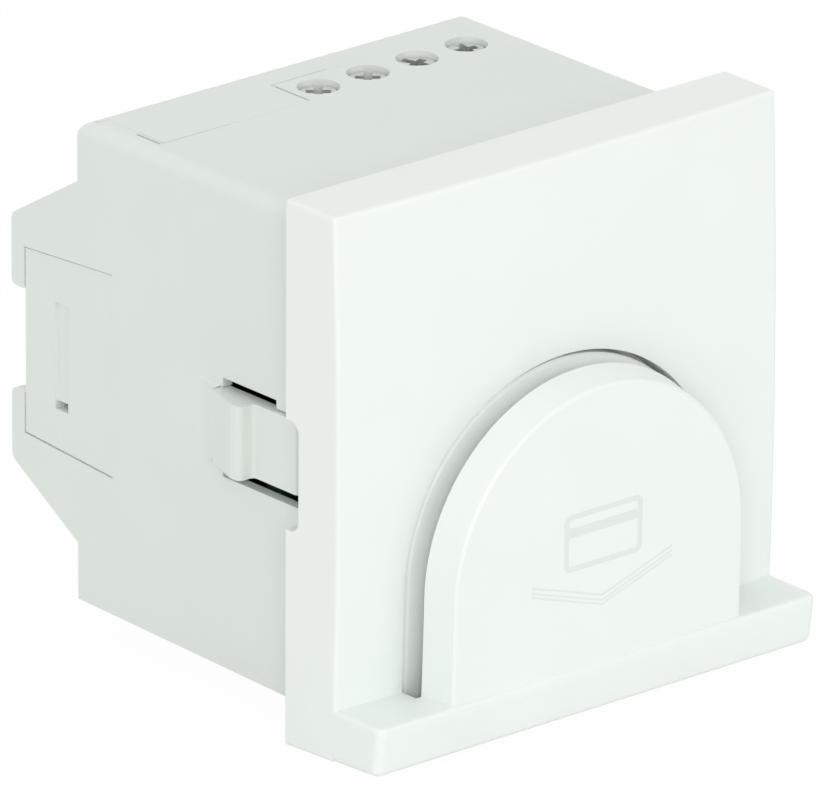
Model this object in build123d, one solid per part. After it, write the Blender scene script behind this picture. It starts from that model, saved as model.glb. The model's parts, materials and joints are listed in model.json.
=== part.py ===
from build123d import *
import math
import os

# Hotel key card switch: a 45 mm square module that snaps into a wall frame, in millimetres.
# X runs to the right seen from the front, Y runs from the front into the wall, Z runs up.
# The origin is the centre of the cover's rear rim, the face that rests on the mounting frame.
os.makedirs("parts", exist_ok=True)

# Shared clearances and the overrun of every cut
overrun = 1.0
seam_gap = 0.06
hair_gap = 0.02
slide_gap = 0.05
pin_gap = 0.05

# Front cover: plate, skirt, card lip and card dome in one moulding
module_size = 45.0
skirt_depth = 5.65
face_crown = 1.1
plate_thickness = 1.75
skirt_wall = 1.6
cover_edge_radius = 0.35
lip_height = 4.6
lip_reach = 5.65
lip_straight = 0.8
lip_front_draft = 0.5
lip_underside_rise = 0.5
lip_corner_radius = 0.8
lip_low_radius = 0.6
card_gap = 1.65
dome_side_inset = 7.25
dome_centre_z = -9.6
dome_reach = 4.7
dome_taper = 0.19
dome_edge = 0.2
opening_margin = 0.65
notch_depth = 1.5
notch_half_height = 4.55
notch_corner_radius = 1.0
cover_rib_width = 1.2
cover_rib_place = 9.5

# Snap arms of the cover, which hook into the carrier's rim
arm_width = 4.0
arm_thickness = 1.1
arm_place = 13.0
arm_hook = 0.4
arm_hook_length = 1.3
arm_reach = 4.4

# Carrier behind the cover, and the box-shaped housing behind it
case_side_inset = 3.1
case_top_inset = 2.4
case_bottom_inset = 2.0
case_bottom_rise = 0.7
case_side_wall = 0.95
case_wall = 1.4
case_top_edge_radius = 1.2
case_low_edge_radius = 0.4
carrier_rear = 2.6
carrier_floor = 1.4
flange_reach = 1.0
flange_top = 11.7
flange_bottom = -15.4
flange_corner = 0.6
housing_seam = 20.6
lap_length = 1.6
lap_thickness = 0.7
seam_inset = 1.9
seam_open_length = 2.9
seam_faint_length = 7.45
seam_faint_gap = 0.04
case_tail = 8.2
ear_root_inset = 5.0
ear_length = 8.1
ear_half_height = 10.2
ear_radius = 0.9
ear_notch_radius = 0.55
ear_notch = 4.3
back_inset = 1.6

# Flush side panel of the rear cover and the slot in it
panel_lead = 4.1
panel_front_half_height = 8.4
panel_rear_half_height = 7.7
panel_recess = 0.1
panel_gap = 0.1
panel_slot_inset = 3.6
panel_slot_width = 1.6
panel_slot_top = 4.2
panel_slot_foot = 4.7
panel_slot_depth = 0.25
panel_hole_height = 0.65

# Side latches: a tongue in a window of the housing's side wall
latch_half_height = 3.05
latch_window_top = 3.9
latch_window_foot = 4.3
latch_window_rear = 11.2
latch_slot_front = 4.8
latch_upper_gap = 0.15
latch_hinge_y = 11.7
latch_ramp_end = 13.7
latch_thickness = 0.75
latch_face_y = 7.0
latch_crest_length = 1.1
latch_crest = 1.9
latch_flat = 0.4
latch_front = 1.8
latch_crest_radius = 0.5
latch_swing_room = 15.8

# Card paddle, its pivot pin and its return spring
paddle_gap = 0.4
paddle_recess = 0.25
paddle_edge = 0.25
paddle_wall = 1.4
paddle_flange = 0.6
paddle_flange_thickness = 1.0
paddle_flange_gap = 0.05
paddle_foot_gap = 0.5
paddle_flange_foot = 3.0
ramp_reach = 2.4
ramp_half_width = 4.0
ramp_top = -1.5
ramp_crest_top = -4.5
ramp_crest_bottom = -8.0
ramp_bottom = -11.0
ramp_radius = 0.5
pivot_y = -0.6
pivot_lift = 3.9
pivot_radius = 0.8
pivot_overhang = 0.5
ear_inset = 5.35
ear_width = 2.4
ear_wall = 0.9
lug_gap = 0.4
lug_width = 2.4
lug_front = -2.2
lug_half_height = 1.6
spring_z = 1.0
spring_coil_radius = 1.85
spring_wire = 0.35
spring_wire_sides = 6
spring_turns = 5
spring_steps = 2
spring_seat_gap = 0.05
spring_guide_radius = 1.25
spring_guide_length = 1.6

# Microswitch behind the paddle
microswitch_length = 12.8
microswitch_height = 6.5
microswitch_thickness = 5.8
microswitch_front = -1.9
microswitch_z = -8.0
microswitch_edge = 0.3
microswitch_gap = 0.1
plunger_width = 1.6
plunger_thickness = 2.6
plunger_reach = 1.0
plunger_depth = 2.4
plunger_travel = 0.8
plunger_guide_floor = 0.4
nose_radius = 0.8
nose_gap = 0.05
switch_pin_pitch = 5.08
switch_pin_width = 0.8
switch_pin_thickness = 0.4
switch_pin_inset = 0.1

# Circuit board and the parts on it
board_front = 6.4
board_thickness = 1.6
board_margin = 0.9
post_half = 1.3
post_place = 14.6
post_pin_radius = 0.8
lead_half = 0.25
lead_stub = 1.2
body_chamfer = 0.4
relay_size = (19.0, 15.5, 15.4)
relay_place = (-5.3, -9.9)
relay_lead_place = (7.6, 6.0)
film_size = (6.0, 12.0, 13.0)
film_place = (11.0, -11.0)
film_lead_place = 5.0
can_radius = 4.0
can_length = 11.5
can_place = (-9.8, 9.6)
can_lead_place = 1.75
rectifier_radius = 4.3
rectifier_length = 5.6
rectifier_place = (-0.2, 3.4)
rectifier_lead_place = 1.8
chip_size = (9.3, 3.4, 6.4)
chip_place = (10.6, 4.0)
chip_leg_pitch = 2.54
chip_leg_width = 0.5
chip_leg_count = 4
fuse_radius = 1.4
fuse_length = 7.0
fuse_place = (-9.8, 2.2)
fuse_lift = 0.3
fuse_lead_half = 0.3
fuse_lead_reach = 1.2

# Terminals: block, screws, rising clamps and fixed bars
terminal_count = 4
terminal_pitch = 5.08
terminal_side_inset = 4.16
terminal_inset = 2.1
block_side = 2.6
block_length = 4.7
block_bottom = 6.4
block_wall = 0.7
block_step = 1.0
block_open_start = 0.6
block_open_end = 3.9
block_open_depth = 0.6
well_radius = 1.72
well_ledge = 1.2
head_radius = 1.6
head_height = 1.6
head_recess = 0.4
head_slot_width = 0.7
head_slot_depth = 0.9
head_cross_share = 0.62
head_edge = 0.15
shank_radius = 1.25
shank_gap = 0.1
shank_length = 5.5
screw_rest_angles = (50.0, 48.0, 109.0, 80.0)
clamp_width = 4.0
clamp_depth = 3.4
clamp_wall = 0.6
clamp_floor = 0.8
clamp_nut = 1.4
clamp_bottom = 6.9
clamp_travel = 2.3
clamp_head_room = 0.7
bar_width = 2.6
bar_thickness = 0.8
bar_z = 11.2
wire_radius = 1.6
wire_z = 9.4
wire_tube_wall = 0.7
wire_tube_gap = 0.2

# Places that follow from the sizes above
half = module_size / 2
face_y = -skirt_depth
face_front = face_y - face_crown
face_radius = half * half / face_crown
cover_inner_y = face_y + plate_thickness
cover_inner = half - skirt_wall
dome_front_y = face_front - dome_reach
lip_front_y = face_y - lip_reach
lip_top_z = lip_height - half
dome_radius = half - dome_side_inset
opening_radius = dome_radius + opening_margin
pocket_floor_z = -cover_inner
case_half_width = half - case_side_inset
case_top = half - case_top_inset
case_bottom_front = half - case_bottom_inset
case_bottom_rear = case_bottom_front - case_bottom_rise
case_rear = housing_seam + case_tail
ear_root = case_top - ear_root_inset
ear_rear = case_rear + ear_length
back_face = ear_rear - back_inset
panel_front = housing_seam + panel_lead
panel_slot_rear = back_face - panel_slot_inset
inner_x = case_half_width - case_side_wall
inner_top = case_top - case_wall
inner_bottom = case_wall - case_bottom_front
floor_front = carrier_rear - carrier_floor
board_rear = board_front + board_thickness
seam_x = case_half_width - seam_inset
pivot_z = pocket_floor_z + pivot_lift
ear_inner = dome_radius - ear_inset
lug_x = ear_inner + ear_width + lug_gap
pivot_length = (lug_x + lug_width + pivot_overhang) * 2
paddle_front = face_y
paddle_back = cover_inner_y + paddle_flange_gap + paddle_flange_thickness
paddle_inner = paddle_front + paddle_wall
paddle_radius = opening_radius - paddle_gap
nose_y = microswitch_front - plunger_reach - nose_gap - nose_radius
microswitch_rear = microswitch_front + microswitch_height
ledge_top = case_top - head_recess - head_height
clamp_top = ledge_top - well_ledge - clamp_head_room - clamp_travel
clamp_window_low = clamp_bottom + clamp_floor
terminal_first_x = case_half_width - terminal_side_inset - terminal_pitch * (terminal_count - 1)
terminal_xs = [terminal_first_x + terminal_pitch * i for i in range(terminal_count)]
terminal_y = housing_seam + terminal_inset
block_front = housing_seam
block_rear = housing_seam + block_length
block_left = terminal_xs[0] - block_side
block_right = terminal_xs[-1] + block_side
lap_x = inner_x - slide_gap - case_wall - slide_gap
latch_hinge_x = case_half_width - case_side_wall / 2
latch_crest_end = latch_face_y + latch_crest_length
latch_slope = latch_crest / (latch_ramp_end - latch_crest_end)


def block(x0, x1, y0, y1, z0, z1):
    """A box between two corners."""
    return Pos((x0 + x1) / 2, (y0 + y1) / 2, (z0 + z1) / 2) * Box(x1 - x0, y1 - y0, z1 - z0)


def rod_x(radius, x0, x1, y, z):
    """A round bar along X."""
    return Pos((x0 + x1) / 2, y, z) * Rot(0, 90, 0) * Cylinder(radius, x1 - x0)


def rod_y(radius, y0, y1, x, z):
    """A round bar along Y."""
    return Pos(x, (y0 + y1) / 2, z) * Rot(90, 0, 0) * Cylinder(radius, y1 - y0)


def rod_z(radius, z0, z1, x, y):
    """A round bar along Z."""
    return Pos(x, y, (z0 + z1) / 2) * Cylinder(radius, z1 - z0)


def side_prism(points, x0, x1):
    """An outline in Y and Z, drawn out along X."""
    edges = Polyline(*[Vector(x0, y, z) for y, z in points], close=True)
    return extrude(make_face(edges), amount=x1 - x0, dir=(1, 0, 0))


def plan_prism(points, z0, z1):
    """An outline in X and Y, drawn out along Z."""
    edges = Polyline(*[Vector(x, y, z0) for x, y in points], close=True)
    return extrude(make_face(edges), amount=z1 - z0, dir=(0, 0, 1))


def arch(radius, y0, y1, z_low):
    """A half-round arch about the dome's centre, with straight legs down to z_low."""
    legs = block(-radius, radius, y0, y1, z_low, dome_centre_z)
    disc = rod_y(radius, y0, y1, 0, dome_centre_z)
    crown = disc & block(-radius, radius, y0, y1, dome_centre_z, dome_centre_z + radius)
    return legs + crown


def case_bottom(y):
    """The underside of carrier and housing, which rises a little towards the rear."""
    along = (y - cover_inner_y) / (case_rear - cover_inner_y)
    return -case_bottom_front - (case_bottom_rear - case_bottom_front) * along


def mirrored(shape):
    """The same piece on the right side."""
    return mirror(shape, about=Plane.YZ)


def edges_near(shape, test):
    """The edges whose middle passes the test."""
    return [edge for edge in shape.edges() if test(edge.center())]


# Front cover
def crown_ball(grow):
    """The ball whose surface is the plate's crowned front, moved forward by grow."""
    return Pos(0, face_front + face_radius, 0) * Sphere(face_radius + grow)


def underside(y):
    """The height of the cover's slightly rising underside."""
    return lip_underside_rise * y / (lip_front_y + lip_front_draft) - half


def plate():
    """The crowned plate with its skirt, closed, its outer edges softened."""
    front = face_front - overrun
    form = side_prism([(0, half), (front, half), (front, underside(front)), (0, -half)], -half, half)
    form &= crown_ball(0)
    return fillet(edges_near(form, lambda c: c.Y < -seam_gap), cover_edge_radius)


def lip():
    """The lip that carries the card, with rounded front corners."""
    low_y = lip_front_y + lip_front_draft
    form = side_prism([
        (cover_inner_y, lip_top_z),
        (lip_front_y, lip_top_z),
        (lip_front_y, lip_top_z - lip_straight),
        (low_y, underside(low_y)),
        (cover_inner_y, underside(cover_inner_y)),
    ], -half, half)

    def corner(c):
        return abs(abs(c.X) - half) < seam_gap and c.Y < low_y + seam_gap and c.Z < lip_top_z - seam_gap

    def low(c):
        return c.Z < underside(low_y) + seam_gap and c.Y < cover_inner_y

    def high(c):
        return abs(c.Z - lip_top_z) < seam_gap and c.Y < cover_inner_y

    form = fillet(edges_near(form, corner), lip_corner_radius)
    form = fillet(edges_near(form, low), lip_low_radius)
    return fillet(edges_near(form, high), cover_edge_radius)


def dome():
    """The half-round dome on the lip: it tapers to a front that is crowned like the plate."""
    length = face_y - dome_front_y + overrun
    wide = dome_radius + dome_taper * (face_y - face_front + card_gap)
    slim = wide - dome_taper * length
    low = lip_top_z - lip_straight
    cone = Pos(0, face_y - length / 2, dome_centre_z) * Rot(90, 0, 0) * Cone(wide, slim, length)
    form = cone & block(-half, half, face_y - length, face_y, dome_centre_z, half)
    form += plan_prism([
        (-wide, face_y),
        (-slim, face_y - length),
        (slim, face_y - length),
        (wide, face_y),
    ], low, dome_centre_z)
    form &= crown_ball(dome_reach)
    rim = edges_near(form, lambda c: c.Y < dome_front_y + face_crown and c.Z > low + seam_gap)
    return chamfer(rim, dome_edge)


def skirt_notch():
    """The notch in the left skirt that gives a screwdriver access to the latch."""
    cut = block(-half - overrun, -cover_inner + overrun, -notch_depth, overrun,
                -notch_half_height, notch_half_height)

    def floor_corner(c):
        return abs(c.Y + notch_depth) < seam_gap and abs(abs(c.Z) - notch_half_height) < seam_gap

    return fillet(edges_near(cut, floor_corner), notch_corner_radius)


def cover_ribs():
    """Short ribs inside the skirt that centre the cover on the carrier."""
    ribs = []
    y0 = cover_inner_y
    y1 = -notch_depth - case_low_edge_radius
    for place in (-cover_rib_place, cover_rib_place):
        low = place - cover_rib_width / 2
        high = place + cover_rib_width / 2
        ribs.append(block(low, high, y0, y1, case_top + slide_gap, cover_inner))
        ribs.append(block(low, high, y0, y1, -cover_inner, case_bottom(y0) - slide_gap))
        ribs.append(block(case_half_width + slide_gap, cover_inner, y0, y1, low, high))
        ribs.append(block(-cover_inner, -case_half_width - slide_gap, y0, y1, low, high))
    return ribs


def snap_arm(side, z):
    """One hooked arm from the plate's back, just inside the carrier's rim."""
    x1 = inner_x - slide_gap
    x0 = x1 - arm_thickness
    y1 = cover_inner_y + arm_reach
    arm = plan_prism([
        (x0, cover_inner_y),
        (x1, cover_inner_y),
        (x1, y1 - arm_hook_length),
        (x1 + arm_hook, y1 - arm_hook_length),
        (x1 + arm_hook, y1 - arm_hook_length / 2),
        (x1, y1),
        (x0, y1),
    ], z - arm_width / 2, z + arm_width / 2)
    return arm if side > 0 else mirrored(arm)


def front_cover():
    cover = plate() + lip() + dome()
    cover -= block(-cover_inner, cover_inner, cover_inner_y, overrun, -cover_inner, cover_inner)
    pocket = arch(opening_radius, dome_front_y, cover_inner_y + overrun, pocket_floor_z)
    cover -= pocket & crown_ball(card_gap)
    notch = skirt_notch()
    cover -= notch
    cover -= mirrored(notch)
    cover += cover_ribs()
    cover += [snap_arm(side, z) for side in (-1, 1) for z in (-arm_place, arm_place)]
    return cover


# Carrier
def case_outline(y0, y1):
    """The side profile shared by carrier and housing between two depths."""
    return [(y0, case_bottom(y0)), (y0, case_top), (y1, case_top), (y1, case_bottom(y1))]


def soften_case(shape, y0, y1):
    """Rounds the four long edges of a stretch of the case."""

    def top_edge(c):
        return abs(abs(c.X) - case_half_width) < seam_gap and abs(c.Z - case_top) < seam_gap

    def low_edge(c):
        low = case_bottom((y0 + y1) / 2)
        return abs(abs(c.X) - case_half_width) < seam_gap and abs(c.Z - low) < case_low_edge_radius

    shape = fillet(edges_near(shape, top_edge), case_top_edge_radius)
    return fillet(edges_near(shape, low_edge), case_low_edge_radius)


def side_flange(grow, x1):
    """The left rim's flange, which laps a cut-out of the housing; grow is the fit's gap."""
    y0 = carrier_rear - overrun
    y1 = carrier_rear + flange_reach + grow
    top = flange_top + grow
    profile = [
        (y0, flange_bottom - grow),
        (y0, top),
        (y1 - flange_corner, top),
        (y1, top - flange_corner),
        (y1, flange_bottom - grow),
    ]
    return side_prism(profile, -case_half_width - grow, x1)


def latch_room(y0, y1):
    """The space in which the left tongue swings inwards."""
    return block(-case_half_width - overrun, -latch_swing_room, y0, y1, -latch_window_foot, latch_window_top)


def carrier_lug(x0):
    """One lug that holds the pivot pin, on the carrier's floor."""
    z0 = pivot_z - lug_half_height
    z1 = pivot_z + lug_half_height
    lug = block(x0, x0 + lug_width, lug_front, floor_front + carrier_floor / 2, z0, z1)

    def front_edge(c):
        return abs(c.Y - lug_front) < seam_gap and abs(c.X - x0 - lug_width / 2) < seam_gap

    return fillet(edges_near(lug, front_edge), lug_half_height / 2)


def board_post(x, z):
    """One post behind the floor, with the pin that locates the circuit board."""
    post = block(x - post_half, x + post_half, carrier_rear - carrier_floor / 2, board_front,
                 z - post_half, z + post_half)
    return post + rod_y(post_pin_radius, board_front - overrun, board_rear, x, z)


def post_places():
    return [(x, z) for x in (-post_place, post_place) for z in (-post_place, post_place)]


def switch_carrier():
    y0 = cover_inner_y
    rim = side_prism(case_outline(y0, carrier_rear), -case_half_width, case_half_width)
    rim = soften_case(rim, y0, carrier_rear)
    rim -= block(-inner_x, inner_x, y0 - overrun, floor_front, inner_bottom, inner_top)
    flange = side_flange(0, -inner_x - slide_gap)
    rim += [flange, mirrored(flange)]
    room = latch_room(-notch_depth, carrier_rear + flange_reach + overrun)
    rim -= room
    rim -= mirrored(room)
    hook_y0 = cover_inner_y + arm_reach - arm_hook_length - slide_gap
    hook_y1 = cover_inner_y + arm_reach + slide_gap
    for z in (-arm_place, arm_place):
        pocket = block(inner_x - overrun, inner_x + arm_hook + slide_gap, hook_y0, hook_y1,
                       z - arm_width / 2 - slide_gap, z + arm_width / 2 + slide_gap)
        rim -= pocket
        rim -= mirrored(pocket)
    for lug in (carrier_lug(lug_x), mirrored(carrier_lug(lug_x))):
        rim += lug
    rim -= rod_x(pivot_radius + pin_gap, -half, half, pivot_y, pivot_z) & block(
        -inner_x, inner_x, lug_front - overrun, floor_front, inner_bottom, inner_top)
    rim += rod_y(spring_guide_radius, floor_front - spring_guide_length, floor_front, 0, spring_z)
    rim -= block(-microswitch_length / 2 - microswitch_gap, microswitch_length / 2 + microswitch_gap,
                 floor_front - overrun, carrier_rear + overrun,
                 microswitch_z - microswitch_thickness / 2 - microswitch_gap,
                 microswitch_z + microswitch_thickness / 2 + microswitch_gap)
    rim += [board_post(x, z) for x, z in post_places()]
    return rim


# Housing
def ear_outline():
    """The side profile of the housing with its two rear ears, from the seam on."""
    return [
        (carrier_rear, case_bottom(carrier_rear)),
        (carrier_rear, case_top),
        (case_rear, case_top),
        (case_rear, ear_root),
        (ear_rear, ear_half_height),
        (ear_rear, ear_notch),
        (back_face, ear_notch),
        (back_face, -ear_notch),
        (ear_rear, -ear_notch),
        (ear_rear, -ear_half_height),
        (case_rear, -ear_root),
        (case_rear, case_bottom(case_rear)),
    ]


def round_side_corners(shape):
    """Rounds the corners of the side profile: the rear top edge and the ears."""

    def rear_top(c):
        return abs(c.Y - case_rear) < seam_gap and abs(c.Z - case_top) < seam_gap

    def ear_outer(c):
        return abs(c.Y - ear_rear) < seam_gap and abs(abs(c.Z) - ear_half_height) < seam_gap

    def ear_inner_corner(c):
        return abs(c.Y - ear_rear) < seam_gap and abs(abs(c.Z) - ear_notch) < seam_gap

    shape = fillet(edges_near(shape, rear_top), case_top_edge_radius)
    shape = fillet(edges_near(shape, ear_outer), ear_radius)
    return fillet(edges_near(shape, ear_inner_corner), ear_notch_radius)


def case_form():
    """The case's long outer form, its two top edges rounded."""
    form = block(-case_half_width, case_half_width, carrier_rear - overrun, ear_rear + overrun,
                 -half, case_top)

    def top_edge(c):
        return abs(abs(c.X) - case_half_width) < seam_gap and abs(c.Z - case_top) < seam_gap

    return fillet(edges_near(form, top_edge), case_top_edge_radius)


def panel_outline(grow):
    """The side panel's outline, grown by the gap round it."""
    return [
        (panel_front - grow, -panel_front_half_height - grow),
        (panel_front - grow, panel_front_half_height + grow),
        (back_face + grow, panel_rear_half_height + grow),
        (back_face + grow, -panel_rear_half_height - grow),
    ]


def latch_cut():
    """The window of the left latch: wide slots beside the tongue and a round seat at its root."""
    x0 = -case_half_width - overrun
    x1 = -inner_x + overrun
    y0 = carrier_rear - overrun
    fit = latch_half_height + slide_gap
    upper = latch_half_height + latch_upper_gap
    cut = block(x0, x1, y0, latch_window_rear, -latch_window_foot, upper)
    cut += block(x0, x1, latch_slot_front, latch_window_rear, 0, latch_window_top)
    cut += block(x0 - latch_crest, x1, y0, latch_hinge_y, -fit, fit)
    return cut + rod_z(case_side_wall / 2 + slide_gap, -fit, fit, -latch_hinge_x, latch_hinge_y)


def latch_bulge():
    """The fixed foot of the left ramp behind the tongue, which runs out into the wall."""
    y0 = latch_hinge_y + slide_gap
    height = latch_slope * (latch_ramp_end - y0)
    return plan_prism([
        (-latch_hinge_x, y0),
        (-case_half_width - height, y0),
        (-case_half_width, latch_ramp_end),
        (-latch_hinge_x, latch_ramp_end),
    ], -latch_half_height, latch_half_height)


def housing():
    shell = side_prism(ear_outline(), -case_half_width, case_half_width)
    shell = round_side_corners(shell) & case_form()
    bulge = latch_bulge()
    shell += [bulge, mirrored(bulge)]
    far = ear_rear + overrun
    cavity = side_prism([
        (carrier_rear - overrun, case_bottom(carrier_rear) + case_wall),
        (carrier_rear - overrun, inner_top),
        (far, inner_top),
        (far, case_bottom(far) + case_wall),
    ], -inner_x, inner_x)
    shell -= cavity
    shell -= block(-inner_x, inner_x, case_rear - case_wall, far, -half, half)
    shell -= block(-seam_x, seam_x, housing_seam, far, -half, half)
    shell -= block(block_left - hair_gap, block_right + hair_gap, housing_seam, block_rear + hair_gap,
                   0, half)
    lap_start = housing_seam - lap_length
    lap_end = housing_seam + lap_length
    top_lap = block(-lap_x, block_left - seam_inset, lap_start, lap_end, inner_top - lap_thickness, inner_top)
    low_top = case_bottom(lap_end) + case_wall
    low_lap = block(-lap_x, lap_x, lap_start, lap_end,
                    case_bottom(housing_seam) + case_wall / 2, low_top + lap_thickness)
    low_lap -= block(-half, half, housing_seam, lap_end + overrun, -half, low_top + slide_gap)
    shell += [top_lap, low_lap]
    panel = side_prism(panel_outline(panel_gap), -case_half_width - overrun, -inner_x + overrun)
    flange = side_flange(hair_gap, -inner_x + overrun)
    window = latch_cut()
    for cut in (panel, flange, window):
        shell -= cut
        shell -= mirrored(cut)
    return shell


# Rear cover
def back_outline(inset):
    """The rear cover's side profile, open towards the front; inset makes the inner profile."""
    top = case_top - inset
    slope = (ear_root - ear_half_height) / (ear_rear - case_rear)
    back_half = ear_root - slope * (back_face - case_rear)
    y0 = housing_seam + hair_gap - (overrun if inset else 0)
    root = ear_root - inset * slope
    return [
        (y0, case_bottom(y0) + inset),
        (y0, top),
        (case_rear - inset, top),
        (case_rear - inset, root),
        (back_face - inset, back_half - inset * slope),
        (back_face - inset, inset * slope - back_half),
        (case_rear - inset, -root),
        (case_rear - inset, case_bottom(case_rear - inset) + inset),
    ]


def side_panel():
    """The left pad that fills the window of the housing's side, with its slot."""
    outer = case_half_width - panel_recess
    pad = side_prism(panel_outline(0), -outer, -inner_x + slide_gap)
    y0 = panel_slot_rear - panel_slot_width
    pad -= block(-outer - overrun, -outer + panel_slot_depth, y0, panel_slot_rear,
                 -panel_slot_foot, panel_slot_top)
    hole = block(-outer - overrun, -inner_x + case_wall + overrun, y0, panel_slot_rear,
                 -panel_slot_foot, panel_hole_height - panel_slot_foot)
    return pad, hole


def open_seams():
    """Stretches of the top's seams that stand open: at the left corner and round the terminals."""
    z0 = case_top - block_open_depth
    corner = block(-seam_x - overrun, seam_gap - seam_x, housing_seam - overrun,
                   housing_seam + seam_open_length, z0, half)
    faint = block(-seam_x, seam_faint_length - seam_x, housing_seam - overrun,
                  housing_seam + seam_faint_gap, z0, half)
    side = block(block_left - seam_gap, block_left + overrun, housing_seam + block_open_start,
                 block_rear + seam_gap, z0, half)
    rear = block(block_left - seam_gap, block_left + block_open_end, block_rear - overrun,
                 block_rear + seam_gap, z0, half)
    return [corner, faint, side, rear]


def rear_cover():
    outer_x = inner_x - slide_gap
    shell = side_prism(back_outline(0), -outer_x, outer_x)

    def rear_top(c):
        return abs(c.Y - case_rear) < seam_gap and abs(c.Z - case_top) < seam_gap

    shell = fillet(edges_near(shell, rear_top), case_top_edge_radius)
    shell -= side_prism(back_outline(case_wall), case_wall - outer_x, outer_x - case_wall)
    strip_end = case_rear - case_wall + slide_gap
    low_strip_top = case_bottom(strip_end) + case_wall + slide_gap
    for z0, z1 in ((inner_top - slide_gap, half), (-half, low_strip_top)):
        strip = block(-half, hair_gap - seam_x, housing_seam - overrun, strip_end, z0, z1)
        shell -= strip
        shell -= mirrored(strip)
    shell -= block(block_left - hair_gap, half, housing_seam - overrun, block_rear + hair_gap,
                   block_bottom - seam_gap, half)
    shell -= open_seams()
    pad, hole = side_panel()
    shell += [pad, mirrored(pad)]
    shell -= hole
    shell -= mirrored(hole)
    tube_front = block_rear + wire_tube_gap
    for x in terminal_xs:
        tube = rod_y(wire_radius + wire_tube_wall, tube_front, back_face, x, wire_z)
        shell += tube & side_prism(back_outline(0), -outer_x, outer_x)
    for x in terminal_xs:
        shell -= rod_y(wire_radius, tube_front - overrun, back_face + overrun, x, wire_z)
    return shell


# Side latches
def side_latch():
    """The left tongue: a thin arm with a ramp, a catch face and a finger pad, on a round root."""
    wall = case_half_width
    inner = latch_thickness - wall
    arm = plan_prism([
        (inner, latch_front),
        (-wall - latch_flat, latch_front),
        (-wall - latch_flat, latch_face_y),
        (-wall - latch_crest, latch_face_y),
        (-wall - latch_crest, latch_crest_end),
        (-wall - latch_slope * (latch_ramp_end - latch_hinge_y), latch_hinge_y),
        (inner, latch_hinge_y),
    ], -latch_half_height, latch_half_height)

    def crest(c):
        return abs(c.Z) < seam_gap and abs(c.X + wall + latch_crest) < seam_gap

    def foot(c):
        return abs(c.Z) < seam_gap and abs(c.X + wall + latch_flat) < seam_gap

    arm = fillet(edges_near(arm, crest), latch_crest_radius)
    arm = fillet(edges_near(arm, foot), latch_flat)
    root = rod_z(case_side_wall / 2, -latch_half_height, latch_half_height, -latch_hinge_x, latch_hinge_y)
    return arm + root


# Card paddle
def card_ramp():
    """The wedge on the paddle's front that an inserted card pushes back."""
    tip = paddle_front - ramp_reach
    inside = paddle_front + paddle_wall / 2
    ramp = side_prism([
        (inside, ramp_top),
        (paddle_front, ramp_top),
        (tip, ramp_crest_top),
        (tip, ramp_crest_bottom),
        (paddle_front, ramp_bottom),
        (inside, ramp_bottom),
    ], -ramp_half_width, ramp_half_width)
    crest = edges_near(ramp, lambda c: abs(c.Y - tip) < seam_gap and abs(c.X) < seam_gap)
    return fillet(crest, ramp_radius)


def paddle_ear(x0):
    """One ear behind the paddle, bored for the pivot pin."""
    reach = pivot_radius + pin_gap + ear_wall
    ear = rod_x(reach, x0, x0 + ear_width, pivot_y, pivot_z)
    return ear + block(x0, x0 + ear_width, paddle_inner, pivot_y, pivot_z - reach, pivot_z + reach)


def card_paddle():
    foot = pocket_floor_z + paddle_foot_gap
    body = arch(paddle_radius, face_front, paddle_back, foot) & crown_ball(-paddle_recess)
    rim = edges_near(body, lambda c: c.Y < paddle_front + seam_gap and c.Z > foot + seam_gap)
    body = chamfer(rim, paddle_edge)
    flange_front = cover_inner_y + paddle_flange_gap
    body += arch(opening_radius + paddle_flange, flange_front, paddle_back, foot + paddle_flange_foot)
    body -= arch(paddle_radius - paddle_wall, paddle_inner, paddle_back + overrun, foot + paddle_flange_foot)
    body -= block(-paddle_radius, paddle_radius, paddle_inner, paddle_back + overrun,
                  foot - overrun, foot + paddle_flange_foot)
    body += card_ramp()
    for ear in (paddle_ear(ear_inner), mirrored(paddle_ear(ear_inner))):
        body += ear
    nose = rod_x(nose_radius, -plunger_width, plunger_width, nose_y, microswitch_z)
    nose += block(-plunger_width, plunger_width, paddle_inner - paddle_wall / 2, nose_y,
                  microswitch_z - nose_radius, microswitch_z + nose_radius)
    body += nose
    body -= rod_x(pivot_radius + pin_gap, -half, half, pivot_y, pivot_z)
    return body


def pivot_pin():
    return rod_x(pivot_radius, -pivot_length / 2, pivot_length / 2, pivot_y, pivot_z)


# Return spring
def biarc(start, start_way, end, end_way):
    """Two arcs that join two points with given directions, meeting on the middle of their ways."""
    gap = end - start
    turn = start_way + end_way
    a = turn.dot(turn) - 4
    b = -2 * gap.dot(turn)
    c = gap.dot(gap)
    reach = (-b - math.sqrt(b * b - 4 * a * c)) / (2 * a)
    if reach < 0:
        reach = (-b + math.sqrt(b * b - 4 * a * c)) / (2 * a)
    middle = (start + start_way * reach + end - end_way * reach) / 2
    way = (end - end_way * reach) - (start + start_way * reach)
    first = TangentArc(start, middle, tangent=start_way)
    second = TangentArc(middle, end, tangent=way.normalized())
    return [first, second]


def spring_points(step_share):
    """The coil's centre line as a function of the share of its turns."""
    y0 = paddle_inner + spring_seat_gap + spring_wire / 2
    y1 = floor_front - spring_seat_gap - spring_wire / 2
    angle = 2 * math.pi * spring_turns * step_share
    radius = spring_coil_radius
    point = Vector(radius * math.cos(angle), y0 + (y1 - y0) * step_share, spring_z + radius * math.sin(angle))
    rise = (y1 - y0) / (2 * math.pi * spring_turns)
    way = Vector(-radius * math.sin(angle), rise, radius * math.cos(angle)).normalized()
    return point, way


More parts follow.
